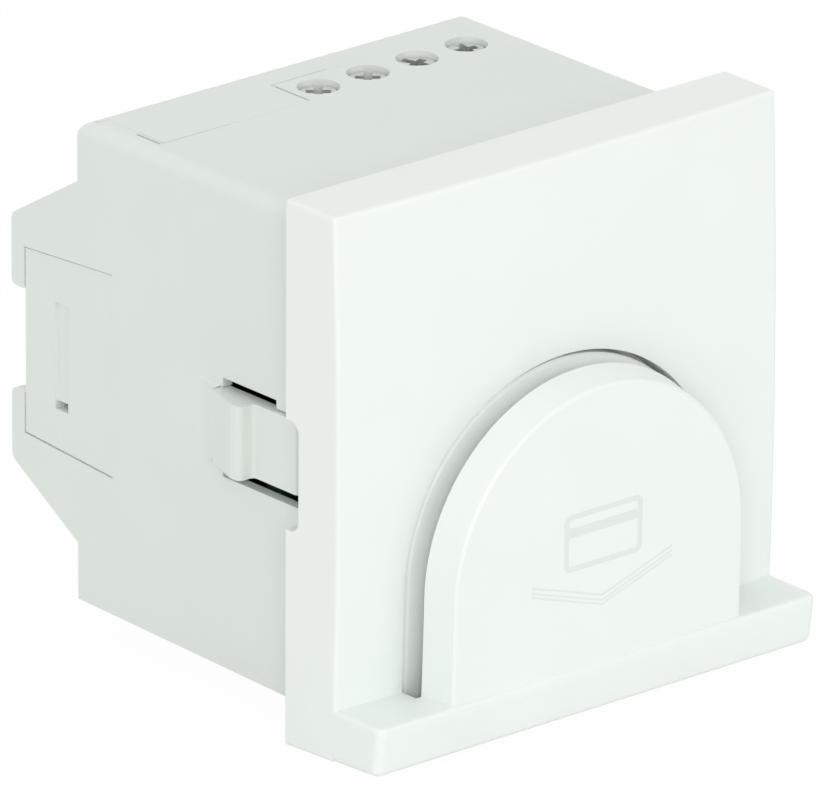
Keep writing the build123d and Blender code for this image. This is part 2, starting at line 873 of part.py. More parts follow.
def paddle_spring():
    steps = spring_turns * spring_steps
    edges = []
    for i in range(steps):
        start, start_way = spring_points(i / steps)
        end, end_way = spring_points((i + 1) / steps)
        edges.extend(biarc(start, start_way, end, end_way))
    path = Wire(edges)
    first, way = spring_points(0)
    section = Plane(origin=first, z_dir=way) * RegularPolygon(spring_wire / 2, spring_wire_sides)
    return sweep(section, path=path)


def spring_gap():
    """The least gap between neighbouring turns, measured on points of the centre line."""
    steps = spring_turns * 24
    line = [spring_points(i / steps)[0] for i in range(steps + 1)]
    apart = [(line[i] - line[j]).length for i in range(steps) for j in range(i + 12, steps + 1)]
    return min(apart) - spring_wire


# Microswitch
def plunger_box(grow, y0, y1):
    return block(-plunger_width / 2 - grow, plunger_width / 2 + grow, y0, y1,
                 microswitch_z - plunger_thickness / 2 - grow, microswitch_z + plunger_thickness / 2 + grow)


def microswitch_body():
    body = block(-microswitch_length / 2, microswitch_length / 2, microswitch_front, microswitch_rear,
                 microswitch_z - microswitch_thickness / 2, microswitch_z + microswitch_thickness / 2)
    body = chamfer(body.edges(), microswitch_edge)
    deep = microswitch_front + plunger_depth + plunger_travel + plunger_guide_floor
    return body - plunger_box(slide_gap, microswitch_front - overrun, deep)


def microswitch_plunger():
    tip = microswitch_front - plunger_reach
    plunger = plunger_box(0, tip, microswitch_front + plunger_depth)
    crest = edges_near(plunger, lambda c: abs(c.Y - tip) < seam_gap)
    return chamfer(crest, microswitch_edge)


def microswitch_terminals():
    pins = []
    for i in (-1, 0, 1):
        x = switch_pin_pitch * i
        pins.append(block(x - switch_pin_width / 2, x + switch_pin_width / 2, microswitch_rear,
                          board_rear - switch_pin_inset, microswitch_z - switch_pin_thickness / 2,
                          microswitch_z + switch_pin_thickness / 2))
    return Compound(children=pins)


# Circuit board and its parts
def board_holes():
    """Every through hole of the board, with the clearance round each lead, pin and bar."""
    y0 = board_front - overrun
    y1 = board_rear + overrun
    holes = [rod_y(post_pin_radius + slide_gap, y0, y1, x, z) for x, z in post_places()]
    holes += [square_pin(lead_half + slide_gap, y0, y1, x, z) for x, z in lead_places()]
    for i in (-1, 0, 1):
        x = switch_pin_pitch * i
        holes.append(block(x - switch_pin_width / 2 - slide_gap, x + switch_pin_width / 2 + slide_gap, y0, y1,
                           microswitch_z - switch_pin_thickness / 2 - slide_gap,
                           microswitch_z + switch_pin_thickness / 2 + slide_gap))
    for x in terminal_xs:
        holes.append(block(x - bar_width / 2 - slide_gap, x + bar_width / 2 + slide_gap, y0, y1,
                           bar_z - slide_gap, bar_z + bar_thickness + slide_gap))
    return holes


def around(place, dx, dz):
    """Points at plus and minus dx and dz round a place on the board."""
    xs = (-dx, dx) if dx else (0,)
    zs = (-dz, dz) if dz else (0,)
    return [(place[0] + x, place[1] + z) for x in xs for z in zs]


def lead_places():
    """Where square leads pass through the board."""
    places = around(relay_place, relay_lead_place[0], relay_lead_place[1])
    places += around(film_place, 0, film_lead_place)
    places += around(can_place, can_lead_place, 0)
    places += around(rectifier_place, rectifier_lead_place, rectifier_lead_place)
    return places


def square_pin(reach, y0, y1, x, z):
    """A square bar along Y; reach is half its side."""
    return block(x - reach, x + reach, y0, y1, z - reach, z + reach)


def leads(places):
    """Square leads from the board's back to a stub in front of it."""
    return [square_pin(lead_half, board_front - lead_stub, board_rear, x, z) for x, z in places]


def circuit_board():
    x1 = inner_x - board_margin
    z1 = inner_top - board_margin
    board = block(-x1, x1, board_front, board_rear, -z1, z1)
    room = latch_room(board_front - overrun, board_rear + overrun)
    board -= [room, mirrored(room)]
    board -= board_holes()
    return board


def boxed_part(size, place):
    """A moulded rectangular component standing on the board's back."""
    body = block(place[0] - size[0] / 2, place[0] + size[0] / 2, board_rear, board_rear + size[1],
                 place[1] - size[2] / 2, place[1] + size[2] / 2)
    outer = edges_near(body, lambda c: c.Y > board_rear + seam_gap)
    return chamfer(outer, body_chamfer)


def relay():
    body = boxed_part(relay_size, relay_place)
    return body + leads(around(relay_place, relay_lead_place[0], relay_lead_place[1]))


def film_capacitor():
    return boxed_part(film_size, film_place) + leads(around(film_place, 0, film_lead_place))


def smoothing_capacitor():
    x, z = can_place
    end = board_rear + can_length
    can = rod_y(can_radius, board_rear, end, x, z)
    can = chamfer(edges_near(can, lambda c: c.Y > end - seam_gap), body_chamfer)
    return can + leads(around(can_place, can_lead_place, 0))


def bridge_rectifier():
    x, z = rectifier_place
    end = board_rear + rectifier_length
    body = rod_y(rectifier_radius, board_rear, end, x, z)
    body = chamfer(edges_near(body, lambda c: c.Y > end - seam_gap), body_chamfer)
    return body + leads(around(rectifier_place, rectifier_lead_place, rectifier_lead_place))


def timer_chip():
    body = boxed_part(chip_size, chip_place)
    first = chip_place[0] - chip_leg_pitch * (chip_leg_count - 1) / 2
    for i in range(chip_leg_count):
        x = first + chip_leg_pitch * i
        reach = chip_size[2] / 2 + chip_leg_width
        body += block(x - chip_leg_width / 2, x + chip_leg_width / 2, board_rear,
                      board_rear + chip_size[1] / 2, chip_place[1] - reach, chip_place[1] + reach)
    return body


def fuse_link():
    """A small fuse lying on the board, its two bent leads resting on it."""
    x, z = fuse_place
    y = board_rear + fuse_radius + fuse_lift
    body = rod_x(fuse_radius, x - fuse_length / 2, x + fuse_length / 2, y, z)
    reach = fuse_length / 2 + fuse_lead_reach
    thin = fuse_lead_half
    body += block(x - reach, x + reach, y - thin, y + thin, z - thin, z + thin)
    body += square_pin(thin, board_rear, y, x - reach + thin, z)
    return body + square_pin(thin, board_rear, y, x + reach - thin, z)


# Terminals
def terminal_block():
    """The insulating block with a well and a clamp chamber for each screw."""
    body = block(block_left, block_right, block_front, block_rear, block_bottom, case_top)
    body += block(block_left, seam_x, block_front - block_step, block_front + overrun,
                  inner_top - block_step - slide_gap, inner_top - slide_gap)
    ledge_low = ledge_top - well_ledge
    for x in terminal_xs:
        body -= rod_z(well_radius, ledge_top, case_top + overrun, x, terminal_y)
        body -= rod_z(shank_radius + shank_gap, ledge_low - overrun, ledge_top + overrun, x, terminal_y)
        wide = clamp_width / 2 + slide_gap
        body -= block(x - wide, x + wide, block_front - overrun - block_step, block_rear + overrun,
                      block_bottom - overrun, bar_z - seam_gap) & block(
                          x - wide, x + wide, terminal_y - clamp_depth / 2 - slide_gap,
                          block_rear + overrun, block_bottom + block_wall / 2, bar_z)
        body -= block(x - wide, x + wide, terminal_y - clamp_depth / 2 - slide_gap,
                      terminal_y + clamp_depth / 2 + slide_gap, clamp_bottom - slide_gap, ledge_low)
        body -= block(x - bar_width / 2 - slide_gap, x + bar_width / 2 + slide_gap,
                      block_front - block_step - overrun, terminal_y,
                      bar_z - slide_gap, bar_z + bar_thickness + slide_gap)
    return body


def terminal_screw(i):
    """A captive screw with a slot and a shorter cross slot, as it stands at rest."""
    x = terminal_xs[i]
    top = ledge_top + head_height
    head = rod_z(head_radius, ledge_top, top, x, terminal_y)
    head = chamfer(edges_near(head, lambda c: c.Z > top - seam_gap), head_edge)
    slot = Box(head_radius * 2 + overrun, head_slot_width, head_slot_depth * 2)
    cross = Box(head_slot_width, head_radius * 2 * head_cross_share, head_slot_depth * 2)
    recess = Pos(x, terminal_y, top) * Rot(0, 0, screw_rest_angles[i]) * (slot + cross)
    shank = rod_z(shank_radius, ledge_top - shank_length, ledge_top + head_height / 4, x, terminal_y)
    return head - recess + shank


def terminal_clamp(i):
    """A box clamp: nut plate on top, wire window below, open towards the rear and the front."""
    x = terminal_xs[i]
    y0 = terminal_y - clamp_depth / 2
    y1 = terminal_y + clamp_depth / 2
    frame = block(x - clamp_width / 2, x + clamp_width / 2, y0, y1, clamp_bottom, clamp_top)
    nut_low = clamp_top - clamp_nut
    window_half = clamp_width / 2 - clamp_wall
    frame -= block(x - window_half, x + window_half, y0 - overrun, y1 + overrun, clamp_window_low, nut_low)
    return frame - rod_z(shank_radius + pin_gap, nut_low - overrun, clamp_top + overrun, x, terminal_y)


def terminal_bar(i):
    """A flat bar from the board to the clamp, against which the clamp lifts the wire."""
    x = terminal_xs[i]
    return block(x - bar_width / 2, x + bar_width / 2, board_front - lead_stub,
                 terminal_y + clamp_depth / 2, bar_z, bar_z + bar_thickness)


def build():
    latch = side_latch()
    pieces = {
        "front_cover": front_cover(),
        "switch_carrier": switch_carrier(),
        "housing": housing(),
        "rear_cover": rear_cover(),
        "side_latch_left": latch,
        "side_latch_right": mirrored(latch),
        "card_paddle": card_paddle(),
        "paddle_pivot_pin": pivot_pin(),
        "paddle_spring": paddle_spring(),
        "microswitch_body": microswitch_body(),
        "microswitch_plunger": microswitch_plunger(),
        "microswitch_terminals": microswitch_terminals(),
        "circuit_board": circuit_board(),
        "relay": relay(),
        "film_capacitor": film_capacitor(),
        "smoothing_capacitor": smoothing_capacitor(),
        "bridge_rectifier": bridge_rectifier(),
        "timer_chip": timer_chip(),
        "fuse_link": fuse_link(),
        "terminal_block": terminal_block(),
    }
    for i in range(terminal_count):
        pieces[f"terminal_screw_{i + 1}"] = terminal_screw(i)
        pieces[f"terminal_clamp_{i + 1}"] = terminal_clamp(i)
        pieces[f"terminal_bar_{i + 1}"] = terminal_bar(i)
    return pieces


for name, piece in build().items():
    export_step(piece, f"parts/{name}.step")
print(f"spring: least gap between its turns {spring_gap():.2f} mm")
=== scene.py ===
import json
import math

import bmesh
import bpy
from mathutils import Matrix, Vector


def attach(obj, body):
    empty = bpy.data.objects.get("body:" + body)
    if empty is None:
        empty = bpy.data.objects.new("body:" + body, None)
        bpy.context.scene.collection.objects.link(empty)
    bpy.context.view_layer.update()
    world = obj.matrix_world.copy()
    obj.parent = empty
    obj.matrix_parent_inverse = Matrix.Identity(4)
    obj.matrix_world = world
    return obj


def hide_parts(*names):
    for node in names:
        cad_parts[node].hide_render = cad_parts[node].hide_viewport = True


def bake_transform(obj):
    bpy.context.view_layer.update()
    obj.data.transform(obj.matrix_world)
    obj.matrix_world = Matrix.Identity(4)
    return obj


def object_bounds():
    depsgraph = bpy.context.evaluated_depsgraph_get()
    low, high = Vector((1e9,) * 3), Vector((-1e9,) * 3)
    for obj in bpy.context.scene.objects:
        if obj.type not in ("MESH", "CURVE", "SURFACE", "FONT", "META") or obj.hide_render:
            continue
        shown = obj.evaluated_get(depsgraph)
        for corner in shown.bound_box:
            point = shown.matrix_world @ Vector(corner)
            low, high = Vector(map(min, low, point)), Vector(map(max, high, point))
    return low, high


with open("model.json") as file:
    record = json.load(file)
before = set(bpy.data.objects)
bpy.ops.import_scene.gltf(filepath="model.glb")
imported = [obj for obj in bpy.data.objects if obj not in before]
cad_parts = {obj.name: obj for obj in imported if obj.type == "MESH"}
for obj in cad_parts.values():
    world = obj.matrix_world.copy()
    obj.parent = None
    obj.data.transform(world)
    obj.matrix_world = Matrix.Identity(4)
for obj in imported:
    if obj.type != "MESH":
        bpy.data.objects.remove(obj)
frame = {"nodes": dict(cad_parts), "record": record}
cad_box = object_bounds()

MM = 0.001

# Camera, as solved from the edges of the plate, skirt, lip and housing in the photo
CAMERA_AZIMUTH = 40.731
CAMERA_ELEVATION = 20.925
CAMERA_ROLL = 0.28
CAMERA_DISTANCE = 1398.21 * MM
CAMERA_AIM_Y = -5.9 * MM
CAMERA_SHIFT_RIGHT = 11.106 * MM
CAMERA_SHIFT_UP = -2.286 * MM
CAMERA_LENS_MM = 786.63
SENSOR_MM = 36.0

# Light: the sky's strength, the lamps' powers in watts, and distances and sizes in metres
SKY_LEVEL = 0.7
NEAR_LAMP_POWER = 3.1
FRONT_LAMP_POWER = 1.6
LEFT_LAMP_POWER = 0.3
TOP_LAMP_POWER = 1.3
LAMP_DISTANCE = 1.2
NEAR_LAMP_SIZE = 0.4
LAMP_SIZE = 1.0
NEAR_LAMP_WAY = (-0.61, -0.71, 0.36)
FRONT_LAMP_WAY = (0.0, -0.93, 0.37)
LEFT_LAMP_WAY = (-0.98, 0.05, 0.2)
TOP_LAMP_WAY = (-0.05, 0.1, 1.0)
FLOOR_HALF = 2.5
FLOOR_COLOUR = (0.9, 0.9, 0.9)
FLOOR_WHITE_SHARE = 0.97

# Moulded plastics
COVER_COLOUR = (0.885, 0.935, 0.9)
CASE_COLOUR = (0.785, 0.84, 0.79)
LATCH_COLOUR = (0.8, 0.855, 0.8)
# Painted light: the paddle is paler than the other plastics, to lift it where the dome shades its slot
PADDLE_LIT_COLOUR = (0.95, 0.985, 0.955)
PLASTIC_IOR = 1.46
GLOSS_SPREAD = 0.03
GRAIN_SIZE = 0.18 * MM
GRAIN_DEPTH = 0.0015 * MM
GRAIN_DETAIL = 3
CLOUD_SIZE = 9.0 * MM
CLOUD_DETAIL = 2
CLOUD_TONE_SHARE = 0.985
CLOUD_START = 0.35
CLOUD_END = 0.65

# Streaks of drawn metal; the bump's depth is a share of a streak's width
STREAK_DETAIL = 4
STREAK_TONE_SHARE = 0.86
STREAK_START = 0.3
STREAK_END = 0.7
STREAK_DEPTH_SHARE = 0.005
METAL_GLOSS_BELOW = 0.06
METAL_GLOSS_ABOVE = 0.08

# Marks on the dome: a plain card pictogram and a plain chevron of three lines
MARK_COLOUR = (0.79, 0.845, 0.81)
MARK_HEIGHT = 0.02 * MM
MARK_SINK = 0.05 * MM
DOME_POLE_Y = -11.45 * MM
DOME_CURVE_RADIUS = 465.0 * MM
MARK_CENTRE_X = 0.05 * MM
CARD_CENTRE_Z = -7.2 * MM
CARD_WIDTH = 8.0 * MM
CARD_HEIGHT = 4.8 * MM
CARD_CORNER = 0.7 * MM
CARD_LINE = 0.45 * MM
STRIPE_DROP = 1.15 * MM
STRIPE_HEIGHT = 0.8 * MM
CHEVRON_HALF_WIDTH = 7.2 * MM
CHEVRON_DROP = 2.33 * MM
CHEVRON_TOP_Z = -9.88 * MM
CHEVRON_LINE = 0.14 * MM
CHEVRON_STEPS = (0.0, 0.44 * MM, 0.79 * MM)

# Trim laid over the case, and darker strips on its top that paint the shadow in its seams
CASE_HALF_WIDTH = 19.4 * MM
CASE_TOP_Z = 20.1 * MM
SEAM_HEIGHT = 0.012 * MM
SEAM_SINK = 0.05 * MM
# Painted shade: the colours of the strips that stand in for the shadow inside the hairline seams
SEAM_SHADE_COLOUR = (0.42, 0.45, 0.42)
FAINT_SEAM_SHADE_COLOUR = (0.6, 0.645, 0.6)
# Each painted seam shadow on the top, and the joint cover, runs from one X and Y to another, and has a
# width
DARK_SEAM_SHADOWS = (
    ((-17.84 * MM, 23.4 * MM), (-17.84 * MM, 20.6 * MM), 0.17 * MM),
    ((-2.6 * MM, 24.9 * MM), (-2.6 * MM, 20.8 * MM), 0.15 * MM),
)
FAINT_SEAM_SHADOWS = (
    ((-2.6 * MM, 25.3 * MM), (3.1 * MM, 25.35 * MM), 0.12 * MM),
    ((-17.6 * MM, 20.6 * MM), (-10.7 * MM, 20.6 * MM), 0.1 * MM),
)
JOINT_COVERS = (((4.2 * MM, 25.35 * MM), (17.15 * MM, 25.35 * MM), 0.7 * MM),)

# The soft foot of the latches
SKIN_THICKNESS = 0.06 * MM
SKIN_LIFT = 0.02 * MM
FOOT_SLOPE = 0.3393
FOOT_END_Y = 13.7 * MM
FOOT_EASE_Y = 12.8 * MM
FOOT_SKIN_END_Y = 14.6 * MM
FOOT_SKIN_START_Y = 11.5 * MM
FOOT_RISE_LENGTH = 0.7 * MM
FOOT_HALF_HEIGHT = 3.07 * MM
FOOT_UPPER_FADE = 0.25 * MM
FOOT_LOWER_FADE = 1.1 * MM
FOOT_ROWS = 20
FOOT_INNER_STEPS = 4
FOOT_UPPER_STEPS = 4
FOOT_LOWER_STEPS = 8

# The case's sharper top right edge, which follows the rear's rounding
EDGE_INNER_X = 17.2 * MM
EDGE_FRONT_X = 19.66 * MM
EDGE_REAR_X = 19.43 * MM
EDGE_FRONT_Y = -0.4 * MM
EDGE_REAR_Y = 28.78 * MM
EDGE_RADIUS = 0.25 * MM
EDGE_PLAN_RADIUS = 0.9 * MM
EDGE_FOOT_X = 19.38 * MM
EDGE_FOOT_Z = 17.6 * MM
EDGE_ARC_STEPS = 4
EDGE_FRONT_STEPS = 8
EDGE_REAR_STEPS = 10
REAR_ROUND = 1.2 * MM
REAR_ROUND_Y = 27.6 * MM

# Inner walls behind the notches of the skirt
SHIELD_X = 15.3 * MM
SHIELD_THICKNESS = 0.3 * MM
SHIELD_FRONT_Y = -1.5 * MM
SHIELD_REAR_Y = 2.5 * MM
SHIELD_LOW_Z = -5.2 * MM
SHIELD_HIGH_Z = 4.6 * MM


def set_inputs(shader, values):
    """Sets plain numbers and colours straight on a shader's sockets."""
    for name, value in values.items():
        shader.inputs[name].default_value = value


def new_material(name):
    material = bpy.data.materials.new(name)
    material.use_nodes = True
    tree = material.node_tree
    tree.nodes.clear()
    output = tree.nodes.new("ShaderNodeOutputMaterial")
    shader = tree.nodes.new("ShaderNodeBsdfPrincipled")
    tree.links.new(shader.outputs["BSDF"], output.inputs["Surface"])
    return material, tree, shader


def object_noise(tree, size, detail):
    """A noise in the object's own coordinates; size is the width of one blotch."""
    place = tree.nodes.new("ShaderNodeTexCoord")
    noise = tree.nodes.new("ShaderNodeTexNoise")
    set_inputs(noise, {"Scale": 1 / size, "Detail": detail})
    tree.links.new(place.outputs["Object"], noise.inputs["Vector"])
    return noise.outputs["Fac"]


def ramp_between(tree, factor, low, high, start, end):
    ramp = tree.nodes.new("ShaderNodeValToRGB")
    ramp.color_ramp.elements[0].position = start
    ramp.color_ramp.elements[1].position = end
    ramp.color_ramp.elements[0].color = (*low, 1)
    ramp.color_ramp.elements[1].color = (*high, 1)
    tree.links.new(factor, ramp.inputs["Fac"])
    return ramp.outputs["Color"]


def level_between(tree, factor, low, high):
    level = tree.nodes.new("ShaderNodeMapRange")
    set_inputs(level, {"To Min": low, "To Max": high})
    tree.links.new(factor, level.inputs["Value"])
    return level.outputs["Result"]


def add_bump(tree, shader, height, depth):
    bump = tree.nodes.new("ShaderNodeBump")
    set_inputs(bump, {"Strength": 1.0, "Distance": depth})
    tree.links.new(height, bump.inputs["Height"])
    tree.links.new(bump.outputs["Normal"], shader.inputs["Normal"])


def shade(colour, share):
    return tuple(channel * share for channel in colour)


def moulded_plastic(name, colour, roughness, tone_share=CLOUD_TONE_SHARE):
    """Satin thermoplastic: a fine moulded grain, a faint cloudiness and uneven gloss."""
    material, tree, shader = new_material(name)
    cloud = object_noise(tree, CLOUD_SIZE, CLOUD_DETAIL)
    tone = ramp_between(tree, cloud, shade(colour, tone_share), colour, CLOUD_START, CLOUD_END)
    tree.links.new(tone, shader.inputs["Base Color"])
    gloss = level_between(tree, cloud, roughness - GLOSS_SPREAD, roughness + GLOSS_SPREAD)
    tree.links.new(gloss, shader.inputs["Roughness"])
    grain = object_noise(tree, GRAIN_SIZE, GRAIN_DETAIL)
    add_bump(tree, shader, grain, GRAIN_DEPTH)
    set_inputs(shader, {"IOR": PLASTIC_IOR})
    return material


def drawn_metal(name, colour, roughness, streak_size):
    """Plated or drawn metal: bright, with fine uneven streaks in its gloss."""
    material, tree, shader = new_material(name)
    streak = object_noise(tree, streak_size, STREAK_DETAIL)
    dull = shade(colour, STREAK_TONE_SHARE)
    tone = ramp_between(tree, streak, dull, colour, STREAK_START, STREAK_END)
    tree.links.new(tone, shader.inputs["Base Color"])
    gloss = level_between(tree, streak, roughness - METAL_GLOSS_BELOW, roughness + METAL_GLOSS_ABOVE)
    tree.links.new(gloss, shader.inputs["Roughness"])
    add_bump(tree, shader, streak, streak_size * STREAK_DEPTH_SHARE)
    set_inputs(shader, {"Metallic": 1.0})
    return material


def laminate(name, colour, line_colour, line_size):
    """Solder mask over a woven glass laminate, with the weave just showing."""
    material, tree, shader = new_material(name)
    place = tree.nodes.new("ShaderNodeTexCoord")
    weave = tree.nodes.new("ShaderNodeTexChecker")
    set_inputs(weave, {"Scale": 1 / line_size, "Color1": (*colour, 1), "Color2": (*line_colour, 1)})
    tree.links.new(place.outputs["Object"], weave.inputs["Vector"])
    tree.links.new(weave.outputs["Color"], shader.inputs["Base Color"])
    set_inputs(shader, {"Roughness": 0.3})
    return material


def make_materials():
    return {
        "white_cover": moulded_plastic("cover_plastic", COVER_COLOUR, 0.42),
        "white_case": moulded_plastic("case_plastic", CASE_COLOUR, 0.5),
        "white_latch": moulded_plastic("latch_plastic", LATCH_COLOUR, 0.45),
        "screw_steel": drawn_metal("screw_steel", (0.68, 0.7, 0.67), 0.45, 0.4 * MM),
        "clamp_steel": drawn_metal("clamp_steel", (0.66, 0.66, 0.64), 0.35, 0.5 * MM),
        "spring_steel": drawn_metal("spring_steel", (0.6, 0.6, 0.6), 0.25, 0.3 * MM),
        "contact_brass": drawn_metal("contact_brass", (0.8, 0.68, 0.38), 0.3, 0.5 * MM),
        "board_green": laminate("board_green", (0.02, 0.07, 0.04), (0.025, 0.08, 0.045), 0.6 * MM),
        "relay_black": moulded_plastic("relay_black", (0.05, 0.05, 0.06), 0.35, 0.8),
        "switch_black": moulded_plastic("switch_black", (0.07, 0.07, 0.08), 0.5, 0.8),
        "plunger_red": moulded_plastic("plunger_red", (0.6, 0.1, 0.08), 0.45, 0.9),
        "film_yellow": moulded_plastic("film_yellow", (0.85, 0.65, 0.12), 0.3, 0.94),
        "can_black": moulded_plastic("can_black", (0.08, 0.09, 0.14), 0.3, 0.85),
    }


def dress_nodes(materials):
    """Gives every CAD node the material of its slot, and the card paddle a paler copy of the plastic,
    painted light in its shaded slot.
    """
    for row in frame["record"]["subparts"]:
        for place in frame["nodes"][row["node"]].material_slots:
            place.material = materials[row["material_slot"]]
    # Painted light: a paler plastic lifts the paddle where the dome shades it
    paddle = moulded_plastic("paddle_lit_plastic", PADDLE_LIT_COLOUR, 0.5)
    for place in frame["nodes"]["card_paddle"].material_slots:
        place.material = paddle


def add_piece(name, mesh_maker, material, body):
    """Makes one mesh piece, turns its faces outwards and hangs it on its body."""
    mesh = bpy.data.meshes.new(name)
    shape = bmesh.new()
    mesh_maker(shape)
    bmesh.ops.recalc_face_normals(shape, faces=shape.faces)
    shape.to_mesh(mesh)
    shape.free()
    piece = bpy.data.objects.new(name, mesh)
    bpy.context.scene.collection.objects.link(piece)
    mesh.materials.append(material)
    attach(piece, body)
    return piece


def join_loops(shape, first, second):
    """Joins two loops with as many points each by a band of faces."""
    for i in range(len(first)):
        j = (i + 1) % len(first)
        shape.faces.new((first[i], first[j], second[j], second[i]))


def close_between(shape, first, second):
    """Closes two loops with as many points each into one solid."""
    shape.faces.new(first)
    shape.faces.new(second)
    join_loops(shape, first, second)


def rounded_loop(x, z, width, height, corner, steps=6):
    """The points of a rectangle with rounded corners, round its centre."""
    points = []
    for turn in range(4):
        side_x = 1 if turn in (0, 3) else -1
        side_z = 1 if turn in (0, 1) else -1
        for step in range(steps + 1):
            angle = math.pi / 2 * (turn + step / steps)
            points.append((x + side_x * (width / 2 - corner) + corner * math.cos(angle),
                           z + side_z * (height / 2 - corner) + corner * math.sin(angle)))
    return points


def dome_point(x, z, height):
    """A point over the dome's crowned front, at a height above it."""
    return x, DOME_POLE_Y + (x * x + z * z) / (2 * DOME_CURVE_RADIUS) - height, z


def add_strip(shape, outer, inner):
    """A closed raised band between two loops with as many points each."""
    levels = ((outer, -MARK_SINK), (outer, MARK_HEIGHT), (inner, MARK_HEIGHT), (inner, -MARK_SINK))
    rings = [[shape.verts.new(dome_point(x, z, height)) for x, z in loop] for loop, height in levels]
    for first, second in zip(rings, rings[1:] + rings[:1]):
        join_loops(shape, first, second)


def add_slab(shape, outline):
    """A closed raised plate with the given outline in X and Z."""
    back = [shape.verts.new(dome_point(x, z, -MARK_SINK)) for x, z in outline]
    front = [shape.verts.new(dome_point(x, z, MARK_HEIGHT)) for x, z in outline]
    close_between(shape, back, front)


def chevron_outline(drop):
    """One line of the chevron, a wide flat V of even thickness."""
    slope = CHEVRON_DROP / CHEVRON_HALF_WIDTH
    tall = CHEVRON_LINE * math.sqrt(1 + slope * slope)
    top = CHEVRON_TOP_Z - drop
    left = MARK_CENTRE_X - CHEVRON_HALF_WIDTH
    right = MARK_CENTRE_X + CHEVRON_HALF_WIDTH
    low = top - CHEVRON_DROP
    return [
        (left, top),
        (left, top - tall),
        (MARK_CENTRE_X, low - tall),
        (right, top - tall),
        (right, top),
        (MARK_CENTRE_X, low),
    ]


def add_marks():
    """The raised pictogram and chevron on the dome's front."""
    mark = moulded_plastic("mark_plastic", MARK_COLOUR, 0.5)
    outer = rounded_loop(MARK_CENTRE_X, CARD_CENTRE_Z, CARD_WIDTH, CARD_HEIGHT, CARD_CORNER)
    inner = rounded_loop(MARK_CENTRE_X, CARD_CENTRE_Z, CARD_WIDTH - 2 * CARD_LINE,
                         CARD_HEIGHT - 2 * CARD_LINE, CARD_CORNER - CARD_LINE)
    stripe_z = CARD_CENTRE_Z + CARD_HEIGHT / 2 - STRIPE_DROP - STRIPE_HEIGHT / 2
    half = CARD_WIDTH / 2 - CARD_LINE
    stripe = [(MARK_CENTRE_X + sx * half, stripe_z + sz * STRIPE_HEIGHT / 2)
              for sx, sz in ((-1, -1), (1, -1), (1, 1), (-1, 1))]

    def card(shape):
        add_strip(shape, outer, inner)

    def card_stripe(shape):
        add_slab(shape, stripe)

    def chevrons(shape):
        for drop in CHEVRON_STEPS:
            add_slab(shape, chevron_outline(drop))

    add_piece("card_outline_mark", card, mark, "case")
    add_piece("card_stripe_mark", card_stripe, mark, "case")
    add_piece("chevron_mark", chevrons, mark, "case")


def top_point(x, y, height):
    """A point over the case's flat top, at a height above it."""
    return x, y, CASE_TOP_Z + height


def add_line(shape, start, end, width):
    """A closed thin band on the case's top, from one X and Y to another."""
    way = Vector(end) - Vector(start)
    side = Vector((-way.y, way.x)).normalized() * width / 2
    corners = [Vector(start) + side, Vector(end) + side, Vector(end) - side, Vector(start) - side]
    low = [shape.verts.new(top_point(c.x, c.y, -SEAM_SINK)) for c in corners]
    high = [shape.verts.new(top_point(c.x, c.y, SEAM_HEIGHT)) for c in corners]
    close_between(shape, low, high)


def add_top_seams():
    """Darker strips that paint the shadow in the seams on the case's top, and a thin plate over the
    joint behind the wells.
    """
    dark = moulded_plastic("seam_shadow", SEAM_SHADE_COLOUR, 0.7)
    faint = moulded_plastic("faint_seam_shadow", FAINT_SEAM_SHADE_COLOUR, 0.7)
    flush = moulded_plastic("top_plastic", CASE_COLOUR, 0.5)
    for name, seams, material in (
        ("top_seam_shadow_dark", DARK_SEAM_SHADOWS, dark),
        ("top_seam_shadow_faint", FAINT_SEAM_SHADOWS, faint),
        ("top_joint_cover", JOINT_COVERS, flush),
    ):
        def lines(shape):
            for start, end, width in seams:
                add_line(shape, start, end, width)

        add_piece(name, lines, material, "case")


def ease(share):
    """Falls smoothly from 1 at 0 to 0 at 1."""
    share = min(max(share, 0.0), 1.0)
    return (1 - share) ** 2 * (1 + 2 * share)


def foot_height(y):
    """The height of the latch's ramp over the side wall, running out smoothly at its foot."""
    if y < FOOT_EASE_Y:
        return FOOT_SLOPE * (FOOT_END_Y - y) + SKIN_LIFT
    reach = FOOT_SKIN_END_Y - FOOT_EASE_Y
    share = (y - FOOT_EASE_Y) / reach
    start = FOOT_SLOPE * (FOOT_END_Y - FOOT_EASE_Y) + SKIN_LIFT
    return start * ease(share) - FOOT_SLOPE * reach * share * (1 - share) ** 2


def rim_of(rows):
    """The points round the edge of a grid, in order."""
    right = [row[-1] for row in rows[1:]]
    left = [row[0] for row in rows[-2:0:-1]]
    return rows[0] + right + rows[-1][-2::-1] + left


